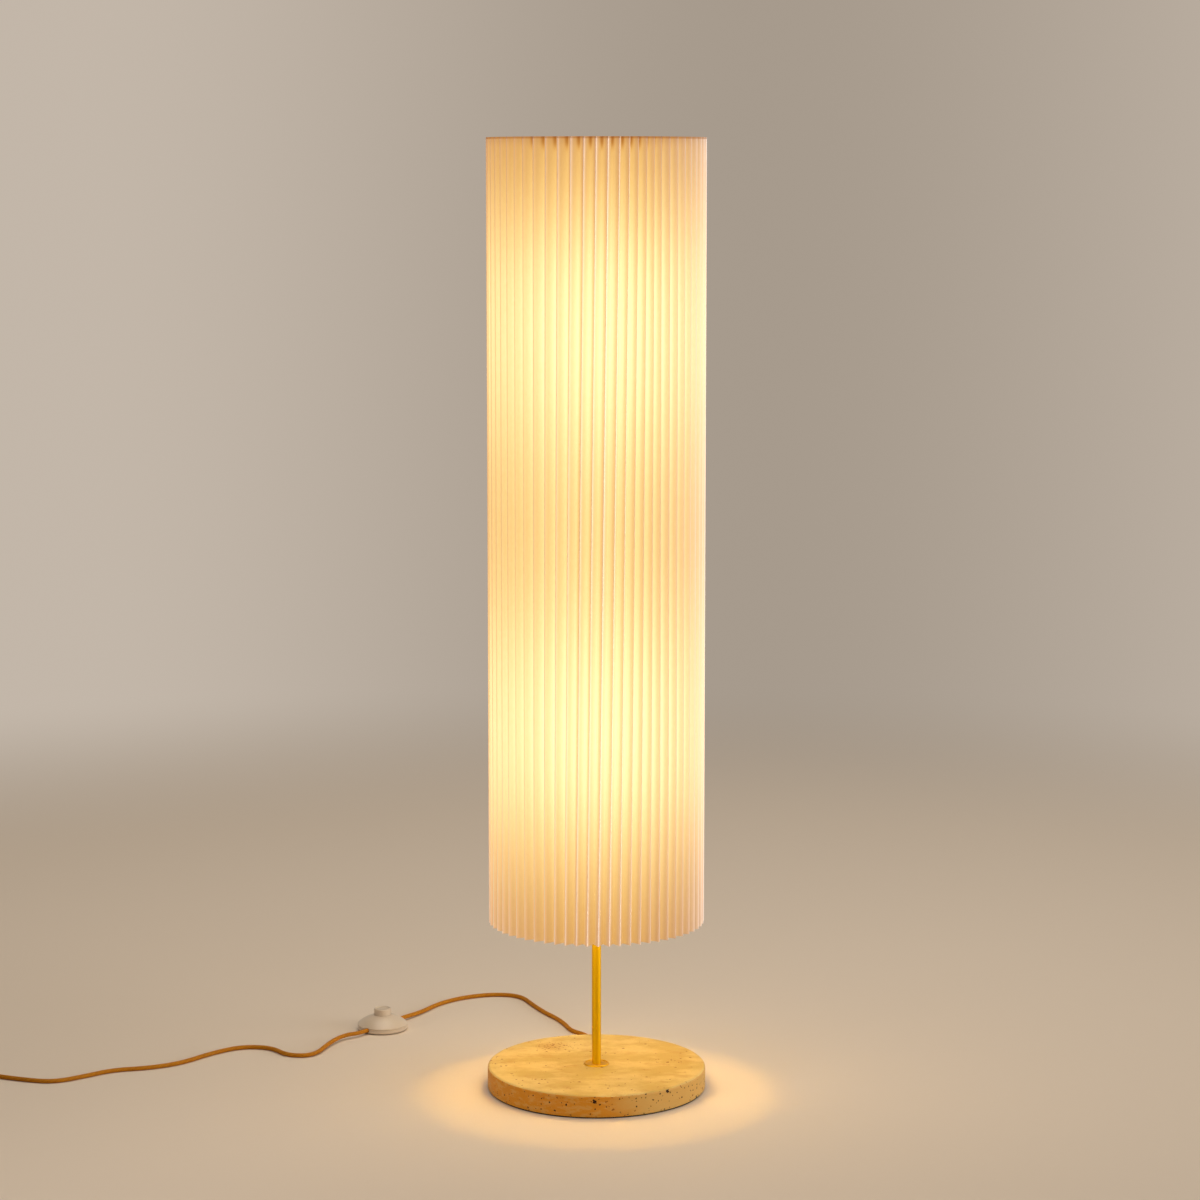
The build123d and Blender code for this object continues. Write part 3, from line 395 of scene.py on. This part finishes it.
deselect()
bpy.ops.mesh.primitive_circle_add(vertices=panels, radius=valley_radius, location=(0, 0, shade_low))
shade = bpy.context.active_object
shade.name = "paper_shade"
bpy.ops.object.mode_set(mode="EDIT")
bpy.ops.mesh.select_all(action="DESELECT")
edit = bmesh.from_edit_mesh(shade.data)
for corner in edit.verts:
    if round(math.atan2(corner.co.y, corner.co.x) / fold_step) % 2 == 0:
        corner.select = True
edit.select_flush(True)
bmesh.update_edit_mesh(shade.data)
grow = tip_radius / valley_radius
bpy.ops.transform.resize(value=(grow, grow, 1), center_override=(0, 0, shade_low))
bpy.ops.mesh.select_all(action="SELECT")
bpy.ops.mesh.subdivide(number_cuts=panel_cuts)
rise = (shade_high - shade_low) / height_steps
for step in range(height_steps):
    bpy.ops.mesh.extrude_region_move(TRANSFORM_OT_translate={"value": (0, 0, rise)})
bpy.ops.mesh.select_all(action="SELECT")
bpy.ops.mesh.normals_make_consistent(inside=False)
bpy.ops.object.mode_set(mode="OBJECT")
bpy.ops.object.transform_apply(location=True, rotation=True, scale=True)

# Each panel bows a hair's breadth and no two pleats are quite alike. The flat sheet's own
# measure is kept as a UV map: along the sheet in panels, and up in metres.
fold_sway, fold_wave, panel_bow = math.radians(0.10), math.radians(0.05), math.radians(0.22)
deepest_dent = 0.0004
random.seed(11)
sway = [random.uniform(-1, 1) for _ in range(panels)]
swell = [random.uniform(-1, 1) for _ in range(panels)]
sheet_map = shade.data.uv_layers.new(name="sheet")
turn_of = [math.atan2(v.co.y, v.co.x) / fold_step for v in shade.data.vertices]
for panel in shade.data.polygons:
    middle = (math.atan2(panel.center.y, panel.center.x) / fold_step - lap_fold) % panels
    for loop in panel.loop_indices:
        corner = shade.data.loops[loop].vertex_index
        along_sheet = (turn_of[corner] - lap_fold) % panels
        if along_sheet < 0.5 and middle > pleats:
            along_sheet += panels
        if along_sheet > panels - 0.5 and middle < pleats:
            along_sheet -= panels
        sheet_map.data[loop].uv = (along_sheet, shade.data.vertices[corner].co.z)
for corner, turn in zip(shade.data.vertices, turn_of):
    radius, azimuth = math.hypot(corner.co.x, corner.co.y), turn * fold_step
    height = (corner.co.z - shade_low) / (shade_high - shade_low)
    aside = math.remainder(azimuth - lean_middle, math.tau)
    aside /= lean_right if aside > 0 else lean_left
    azimuth += gather * math.sin(2 * (gather_from - azimuth))
    if abs(aside) < 1:
        azimuth += lean * height * math.cos(aside * math.pi / 2)
    panel, through_panel = int(turn % panels), turn % 1.0
    fold = round(turn) % panels
    wave = math.sin(3.1 * height + 9.0 * swell[fold])
    azimuth += fold_sway * sway[fold] + fold_wave * wave
    bow = 4 * through_panel * (1 - through_panel)
    azimuth += bow * panel_bow * swell[panel] * math.sin(math.pi * (0.15 + 0.8 * height))
    radius -= deepest_dent * (1 + sway[fold]) / 2
    corner.co.x, corner.co.y = radius * math.cos(azimuth), radius * math.sin(azimuth)
shade.data.update()

# The folds are creased to a radius of a little under half a millimetre, then the sheet gets its
# thickness. Its inner face gets a material of its own with a stronger painted glow, because the bulbs
# light it directly.
deselect()
shade.select_set(True)
bpy.context.view_layer.objects.active = shade
crease = shade.modifiers.new("crease", "BEVEL")
crease.width, crease.segments = 0.0009, 2
crease.limit_method, crease.angle_limit = "ANGLE", math.radians(40)
wall = shade.modifiers.new("wall", "SOLIDIFY")
wall.thickness, wall.offset, wall.use_even_offset = paper_thickness, -1.0, True
wall.material_offset = 1
bpy.ops.object.modifier_apply(modifier="crease")
bpy.ops.object.modifier_apply(modifier="wall")
bpy.ops.object.shade_smooth_by_angle(angle=math.radians(24))

bulb_middles = ((0.0083, 0.0391, 1.044), (-0.0028, 0.0399, 0.520))
glow_width, bulb_size = 0.215, 0.115
ring_shadow_low, ring_shadow_high = 1.276, 1.298
edge_low, edge_high = 1.2965, 1.2985
lap_line, lap_width = panels - 1, 0.001
crease_highlight, ring_shadow_brown, edge_brown = (0.84, 0.85, 0.83), (0.12, 0.06, 0.015), (0.20, 0.13, 0.06)


def paper(name, reflect, red, green, blue):
    """Lit paper with a painted glow: brightest nearest the bulbs, deeper in colour between and beyond
    them.
    """
    material, tree, shader = surface(name, {"Roughness": 0.7, "Sheen Weight": 0.15})
    flat_sheet = node(tree, "ShaderNodeUVMap", {"uv_map": "sheet"})
    parts = node(tree, "ShaderNodeSeparateXYZ", inputs={0: flat_sheet})
    along_sheet, height = parts, parts.node.outputs[1]
    # The glow is painted as emission in place of the bulbs' light through the paper, falling off with the
    # distance from each bulb.
    level = 0.0
    here = place(tree)
    for middle in bulb_middles:
        ends = {0: here, 1: middle}
        apart = node(tree, "ShaderNodeVectorMath", {"operation": "DISTANCE"}, ends, out="Value")
        apart = calc(tree, "ADD", calc(tree, "MULTIPLY", apart, apart), bulb_size**2)
        apart = calc(tree, "DIVIDE", apart, glow_width**2)
        level = calc(tree, "ADD", calc(tree, "POWER", apart, -1.5), level)
    level = calc(tree, "DIVIDE", calc(tree, "MULTIPLY", level, 1.6), calc(tree, "ADD", level, 0.6))
    fold = calc(tree, "PINGPONG", along_sheet, 1.0)
    turn = calc(tree, "FRACT", calc(tree, "MULTIPLY", along_sheet, 0.5))
    # Painted shadow of the top wire ring: the valleys darken just under the top edge, in the glow and in
    # the paper's colour.
    near_top = ramp(tree, height, ring_shadow_low, ring_shadow_high)
    ring_shadow_share = calc(tree, "MULTIPLY", near_top, ramp(tree, fold, 0.45, 0.95))
    fibres = cloud(tree, place(tree, (1.0, 1.0, 0.35)), 380.0, 5.0, 0.65)
    # Painted light and shade on the folds: panels facing right grow lighter from tip to valley, panels
    # facing left grow deeper towards the next tip, a brighter line runs in each valley and a dark line at
    # each crease.
    right_panel = ramp(tree, turn, 0.05, 0.45, 0.92, 1.08)
    left_panel = ramp(tree, turn, 0.66, 0.96, 1.03, 0.66)
    valley_light = ramp(tree, fold, 0.78, 0.97, 1.0, 1.04)
    crease_shade = ramp(tree, fold, 0.03, 0.12, 0.35, 1.0)
    # The painted glow also dims towards both ends of the shade, in a band at its top and along its cut
    # edge, and where the paper lies double at the lap.
    upper_end = ramp(tree, height, 1.10, shade_high, 1.0, 0.82)
    lower_end = ramp(tree, height, shade_low, 0.48, 0.77, 1.0)
    top_band = ramp(tree, height, 1.285, shade_high, 1.0, 0.80)
    cut_edge = ramp(tree, height, edge_low, edge_high, 1.0, 0.6)
    ring_shadow_dim = ramp(tree, ring_shadow_share, 0.0, 1.0, 1.0, 0.5)
    grain = ramp(tree, fibres, 0.25, 0.75, 0.965, 1.035)
    lap = ramp(tree, along_sheet, lap_line - lap_width, lap_line + lap_width, 1.0, 0.75)
    folds, ends = (right_panel, left_panel, valley_light, crease_shade), (upper_end, lower_end, top_band, cut_edge)
    for share in (*folds, *ends, ring_shadow_dim, grain, lap):
        level = calc(tree, "MULTIPLY", level, share)
    channels = [
        calc(tree, "MULTIPLY", calc(tree, "POWER", level, power), gain)
        for gain, power in (red, green, blue)
    ]
    glow = node(tree, "ShaderNodeCombineColor", inputs=dict(enumerate(channels)))
    tree.links.new(glow, shader.inputs["Emission Color"])
    shader.inputs["Emission Strength"].default_value = 1.0
    deeper = tuple(0.9 * channel for channel in reflect)
    face = blend_colour(tree, fibres, deeper, reflect)
    # A painted highlight along each crease: the paper is whiter near the tips, where the light from the
    # right catches the fold.
    face = blend_colour(tree, ramp(tree, fold, 0.05, 0.35, 0.35, 0.0), face, crease_highlight)
    face = blend_colour(tree, ramp(tree, fold, 0.04, 0.11, 1.0, 0.0), face, crease_highlight)
    face = blend_colour(tree, calc(tree, "MULTIPLY", ring_shadow_share, 0.8), face, ring_shadow_brown)
    face = blend_colour(tree, ramp(tree, height, edge_low, edge_high, 0.0, 0.6), face, edge_brown)
    tree.links.new(face, shader.inputs["Base Color"])
    bump(tree, shader, fibres, 0.15, 0.0003)
    return material


# Both faces glow with painted light: the outer face as if lit through the paper, the inner face brighter
# and paler as if lit by the bulbs directly.
paper_face = paper("paper_face", (0.22, 0.28, 0.33), (1.04, 0.60), (0.71, 1.0), (0.28, 1.8))
paper_back = paper("paper_back", (0.70, 0.62, 0.48), (6.0, 0.6), (3.6, 0.9), (1.4, 1.5))
shade.data.materials.append(paper_face)
shade.data.materials.append(paper_back)
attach(shade, "lamp")
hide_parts("pleated_shade")

# Two wire rings lie inside the folds. The upper one hangs on a three-armed spider under the
# round nut, and the lower one is centred on the pole by a second spider and its thumb screw.
wire_white, tree, shader = surface("wire_coating", {"Roughness": 0.42})
powder = cloud(tree, place(tree), 900.0, 2.0)
coat = blend_colour(tree, powder, (0.82, 0.80, 0.75), (0.88, 0.87, 0.83))
tree.links.new(coat, shader.inputs["Base Color"])
bump(tree, shader, powder, 0.2, 0.0002)
dress(wire_white, "shade_top_ring", "shade_bottom_ring", "top_spider", "bottom_spider")

# The foot switch is a low dome in two halves of off-white plastic with a round button that
# is pressed down against its spring. It stands on a thin rubber pad.
switch_white, tree, shader = surface("switch_plastic", {"Roughness": 0.38, "Coat Weight": 0.1})
tone = cloud(tree, place(tree), 28.0)
off_white = blend_colour(tree, tone, (0.54, 0.42, 0.30), (0.60, 0.48, 0.35))
tree.links.new(off_white, shader.inputs["Base Color"])
bump(tree, shader, cloud(tree, place(tree), 1600.0, 2.0), 0.12, 0.0002)
dress(switch_white, "switch_base", "switch_cover", "switch_button", "plug_body")

# The button's return spring is wound from plated wire of one millimetre. Its lower end stays
# on the floor of the switch.
wire_radius, spring_turns, button_travel = 0.0005, 6, 0.004
spring_low, spring_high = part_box("switch_spring")
spring_middle = (spring_low + spring_high) / 2
spring_tall = spring_high.z - spring_low.z
spring_reach = (spring_high.x - spring_low.x) / 2 - wire_radius
deselect()
bpy.ops.mesh.primitive_circle_add(
    vertices=10, radius=wire_radius, location=(spring_reach, 0, 0), rotation=(math.pi / 2, 0, 0)
)
spring = bpy.context.active_object
spring.name = "return_spring"
bpy.ops.object.transform_apply(location=True, rotation=True, scale=True)
winding = spring.modifiers.new("winding", "SCREW")
winding.axis, winding.iterations = "Z", spring_turns
winding.screw_offset = (spring_tall - 2 * wire_radius) / spring_turns
winding.steps, winding.render_steps = 24, 24
bpy.ops.object.modifier_apply(modifier="winding")
bpy.ops.object.mode_set(mode="EDIT")
bpy.ops.mesh.select_all(action="SELECT")
bpy.ops.mesh.fill_holes(sides=0)
bpy.ops.mesh.select_all(action="SELECT")
bpy.ops.mesh.normals_make_consistent(inside=False)
bpy.ops.object.mode_set(mode="OBJECT")
spring.location = (spring_middle.x, spring_middle.y, spring_low.z + wire_radius)
bpy.ops.object.transform_apply(location=True, rotation=True, scale=True)
bpy.ops.object.shade_smooth_by_angle(angle=math.radians(60))
spring.data.materials.append(zinc)
dress(zinc, "switch_spring")
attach(spring, "lamp")
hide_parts("switch_spring")
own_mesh(spring)


# The cord is a two-core cable in a braided copper-brown textile sleeve. It leaves the back of
# the stone through a rubber bushing and lies in a loose bow to the foot switch.
def spline_of(name, points):
    """The cord's line: one smooth spline with the route's points as its control points."""
    data = bpy.data.curves.new(name, "CURVE")
    data.dimensions = "3D"
    data.resolution_u = 12
    line = data.splines.new("NURBS")
    line.points.add(len(points) - 1)
    for held, point in zip(line.points, points):
        held.co = (*point, 1.0)
    line.order_u = 3
    line.use_endpoint_u = True
    route = bpy.data.objects.new(name, data)
    bpy.context.scene.collection.objects.link(route)
    bpy.context.view_layer.update()
    graph = bpy.context.evaluated_depsgraph_get()
    run = bpy.data.meshes.new_from_object(route.evaluated_get(graph))
    followed = [vertex.co.copy() for vertex in run.vertices]
    bpy.data.objects.remove(route)
    bpy.data.meshes.remove(run)
    return followed


def braided_cord(name, points, radius, sides=16):
    """A round cord along its spline, with its length and its turn kept as a UV map."""
    line = spline_of(name + "_line", points)
    build = bmesh.new()
    braid_map = build.loops.layers.uv.new("braid")
    heading = (line[1] - line[0]).normalized()
    side = heading.orthogonal().normalized()
    rings, reached = [], [0.0]
    for index, centre in enumerate(line):
        ahead = line[min(index + 1, len(line) - 1)] - line[max(index - 1, 0)]
        side = (side - ahead.normalized() * side.dot(ahead.normalized())).normalized()
        other = ahead.normalized().cross(side)
        ring = []
        for step in range(sides):
            turn = math.tau * step / sides
            outward = side * math.cos(turn) + other * math.sin(turn)
            ring.append(build.verts.new(centre + radius * outward))
        rings.append(ring)
        if index:
            reached.append(reached[-1] + (centre - line[index - 1]).length)
    for start, (ring, following) in enumerate(zip(rings, rings[1:])):
        for step in range(sides):
            after = (step + 1) % sides
            face = build.faces.new((ring[step], ring[after], following[after], following[step]))
            face.smooth = True
            corners = ((start, step), (start, step + 1), (start + 1, step + 1), (start + 1, step))
            for loop, (which, turn) in zip(face.loops, corners):
                loop[braid_map].uv = (reached[which], turn / sides)
    build.faces.new(reversed(rings[0]))
    build.faces.new(rings[-1])
    mesh = bpy.data.meshes.new(name)
    build.to_mesh(mesh)
    build.free()
    cord = bpy.data.objects.new(name, mesh)
    bpy.context.scene.collection.objects.link(cord)
    return cord, line, reached[-1]


yarns_round, yarn_pitch = 9.0, 0.0031
textile, tree, shader = surface("braided_textile", {"Roughness": 0.7, "Specular IOR Level": 0.2})
sleeve_map = node(tree, "ShaderNodeUVMap", {"uv_map": "braid"})
parts = node(tree, "ShaderNodeSeparateXYZ", inputs={0: sleeve_map})
length_along = calc(tree, "DIVIDE", parts, yarn_pitch)
turn_round = calc(tree, "MULTIPLY", parts.node.outputs[1], yarns_round)
left_lay = calc(tree, "ADD", turn_round, length_along)
right_lay = calc(tree, "SUBTRACT", turn_round, length_along)
ridges = [
    calc(tree, "SINE", calc(tree, "MULTIPLY", calc(tree, "FRACT", lay), math.pi))
    for lay in (left_lay, right_lay)
]
crossing = calc(tree, "ADD", calc(tree, "FLOOR", left_lay), calc(tree, "FLOOR", right_lay))
over = calc(tree, "PINGPONG", crossing, 1.0)
yarn = node(tree, "ShaderNodeMix", {"data_type": "FLOAT"}, {0: over, 2: ridges[0], 3: ridges[1]})
strand = calc(tree, "FRACT", calc(tree, "MULTIPLY", calc(tree, "FLOOR", left_lay), 0.37))
copper = blend_colour(tree, strand, (0.50, 0.17, 0.001), (0.62, 0.24, 0.003))
# The braid is painted darker between the yarns, for the shade in its grooves.
copper = blend_colour(tree, ramp(tree, yarn, 0.1, 0.8), (0.22, 0.065, 0.002), copper)
worn = ramp(tree, cloud(tree, place(tree), 70.0), 0.35, 0.7, 0.0, 0.25)
copper = blend_colour(tree, worn, copper, (0.40, 0.14, 0.004))
tree.links.new(copper, shader.inputs["Base Color"])
bump(tree, shader, yarn, 0.7, 0.0004)

rubber, tree, shader = surface("dark_rubber", {"Roughness": 0.7})
dusty = blend_colour(tree, cloud(tree, place(tree), 240.0), (0.04, 0.035, 0.03), (0.065, 0.058, 0.05))
tree.links.new(dusty, shader.inputs["Base Color"])
dress(rubber, "cord_bushing", "switch_foot_pad")
dress(textile, "cord_in_base", "cord_to_switch", "cord_to_coil", "cord_tail", "cord_coil")

cord_radius = 0.003
floor_lie = 0.00305
to_switch = [
    (0.0, 0.1495, 0.0065),
    (-0.0015, 0.172, 0.005),
    (-0.0055, 0.205, 0.0033),
    (-0.0144, 0.2435, floor_lie),
    (-0.037, 0.2647, floor_lie),
    (-0.047, 0.3025, floor_lie),
    (-0.060, 0.334, floor_lie),
    (-0.0756, 0.3607, floor_lie),
    (-0.095, 0.4036, floor_lie),
    (-0.1157, 0.4597, floor_lie),
    (-0.159, 0.4695, floor_lie),
    (-0.2065, 0.449, floor_lie),
    (-0.241, 0.4123, floor_lie),
    (-0.262, 0.367, 0.0036),
    (-0.2853, 0.3318, 0.0055),
    (-0.29872, 0.31187, 0.006),
]
lead, lead_line, lead_length = braided_cord("lead_to_switch", to_switch, cord_radius)
lead.data.materials.append(textile)
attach(lead, "lamp")
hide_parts("cord_to_switch")
switch_nodes = ["switch_foot_pad", "switch_base", "switch_cover", "switch_button"]
switch_nodes += ["switch_contacts", "switch_grips", "switch_screws"]

# From the switch the cord wanders out of view. The rest of it is wound into a neat coil of
# five turns in two layers, held by a tie, and it ends in a flat two-pin plug beside the coil.
coil_middle = (-0.908, 0.0105)
turn_radii = (0.039, 0.033, 0.027, 0.030, 0.036, 0.036)
turn_heights = (0.0038, 0.0038, 0.0038, 0.0092, 0.0092, 0.0092)
points_per_turn = 16
coil_points = 5 * points_per_turn + 4
climbing_turn, climb_from, climb_over = 2, 0.40, 0.34
shift_from, shift_over = 0.72, 0.28


def eased(share):
    """Goes smoothly from 0 to 1 as share does, and stays there beyond."""
    share = min(max(share, 0.0), 1.0)
    return share * share * (3 - 2 * share)


coil = []
for step in range(coil_points + 1):
    turn, share = divmod(step / points_per_turn, 1.0)
    turn = int(turn)
    after = min(turn + 1, len(turn_radii) - 1)
    inward, climb = eased((share - shift_from) / shift_over), 0.0
    if turn == climbing_turn:
        inward = climb = eased((share - climb_from) / climb_over)
    radius = turn_radii[turn] + (turn_radii[after] - turn_radii[turn]) * inward
    height = turn_heights[turn] + (turn_heights[after] - turn_heights[turn]) * climb
    angle = math.pi / 2 + math.tau * step / points_per_turn
    aside, back = radius * math.cos(angle), radius * math.sin(angle)
    coil.append((coil_middle[0] + aside, coil_middle[1] + back, height))
to_coil = [
    (-0.33228, 0.26213, 0.006),
    (-0.345, 0.2433, 0.006),
    (-0.368, 0.231, 0.0062),
    (-0.386, 0.197, 0.005),
    (-0.402, 0.137, 0.0034),
    (-0.441, 0.138, floor_lie),
    (-0.467, 0.178, floor_lie),
    (-0.5105, 0.183, floor_lie),
    (-0.549, 0.1515, floor_lie),
    (-0.587, 0.100, floor_lie),
    (-0.6305, 0.076, floor_lie),
    (-0.679, 0.066, floor_lie),
    (-0.7135, 0.036, floor_lie),
    (-0.752, 0.0085, floor_lie),
    (-0.795, 0.020, floor_lie),
    (-0.833, 0.036, floor_lie),
    (-0.866, 0.049, floor_lie),
    (-0.890, 0.0497, 0.0034),
]
to_plug = [
    (-0.9455, -0.0075, 0.0092),
    (-0.9485, -0.034, 0.0064),
    (-0.9535, -0.062, 0.0062),
    (-0.962, -0.088, 0.00685),
]
tail_route = [*to_coil, *coil, *to_plug]
tail, tail_line, tail_length = braided_cord("cord_to_plug", tail_route, cord_radius)
tail.data.materials.append(textile)
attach(tail, "lamp")
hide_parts("cord_to_coil", "cord_coil", "cord_tail")

# The tie is a strip of black hook and loop tape round the turns of the coil. The plug's two
# pins are nickel plated, and its body is of the same plastic as the switch.
tie_black, tree, shader = surface("hook_and_loop", {"Roughness": 0.95, "Sheen Weight": 0.3})
hooks = cloud(tree, place(tree), 1500.0, 2.0)
nap = blend_colour(tree, hooks, (0.02, 0.02, 0.02), (0.07, 0.07, 0.068))
tree.links.new(nap, shader.inputs["Base Color"])
bump(tree, shader, hooks, 0.8, 0.0005)
dress(tie_black, "coil_tie")
nickel, tree, shader = surface("nickel_plate", {"Metallic": 1.0, "Roughness": 0.22})
plated = blend_colour(tree, cloud(tree, place(tree), 400.0), (0.74, 0.72, 0.68), (0.80, 0.79, 0.75))
tree.links.new(plated, shader.inputs["Base Color"])
dress(nickel, "plug_pins")
